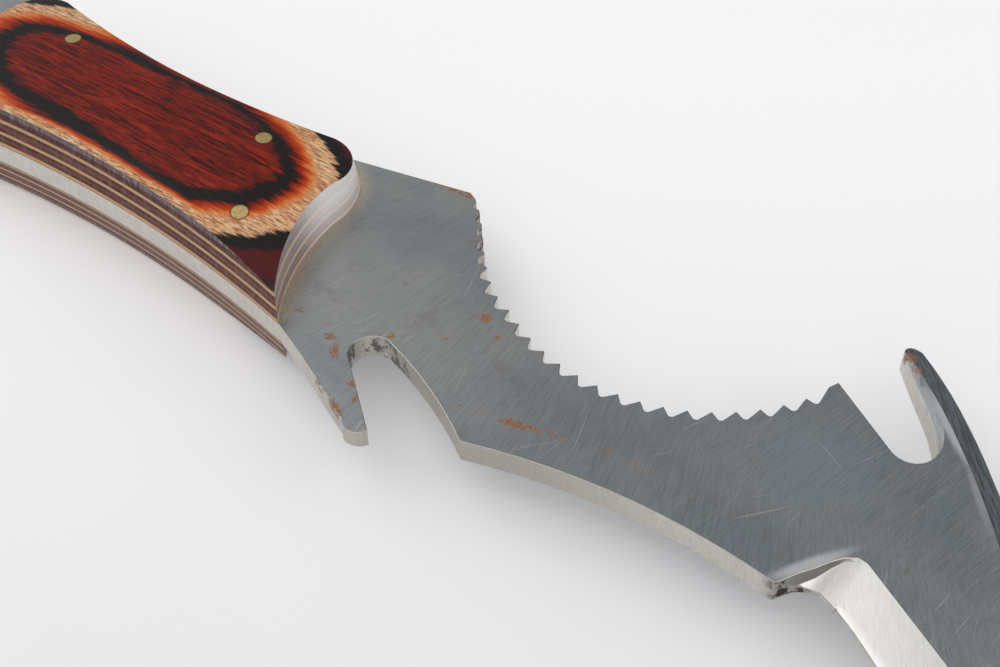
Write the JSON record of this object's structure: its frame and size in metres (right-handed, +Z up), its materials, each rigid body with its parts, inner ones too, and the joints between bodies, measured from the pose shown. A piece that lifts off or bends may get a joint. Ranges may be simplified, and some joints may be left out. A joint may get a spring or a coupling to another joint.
{
  "type": "rigging knife",
  "caption": "Full-tang fixed-blade rope and rigging knife with a line notch, hollow saw back, back hook, down-swept blade and crowned laminated wood scales.",
  "frame": {"origin": "bottom centre of the whole knife's bounding box, as it lies flat on its lower scale", "axes": "+X from the pommel to the point of the blade, +Y from the belly to the spine, +Z up and square to the steel plate"},
  "size_m": [0.27, 0.0802, 0.0236],
  "materials": {
    "steel": "brushed, lightly scratched and rust spotted",
    "red_wood": "dyed veneer, sanded and polished",
    "tan_wood": "plain veneer, sanded and polished",
    "brass": "sanded flush, dull"
  },
  "bodies": {
    "root": {"blade": "steel", "upper_tan_veneer_1": "tan_wood", "upper_red_veneer_1": "red_wood", "upper_tan_veneer_2": "tan_wood", "upper_red_veneer_2": "red_wood", "upper_tan_veneer_3": "tan_wood", "upper_red_veneer_3": "red_wood", "upper_tan_veneer_4": "tan_wood", "upper_red_veneer_4": "red_wood", "lower_tan_veneer_1": "tan_wood", "lower_red_veneer_1": "red_wood", "lower_tan_veneer_2": "tan_wood", "lower_red_veneer_2": "red_wood", "lower_tan_veneer_3": "tan_wood", "lower_red_veneer_3": "red_wood", "lower_tan_veneer_4": "tan_wood", "lower_red_veneer_4": "red_wood", "pin_front_spine": "brass", "pin_front_belly": "brass", "pin_rear_spine": "brass", "pin_rear_belly": "brass"}
  },
  "joints": []
}
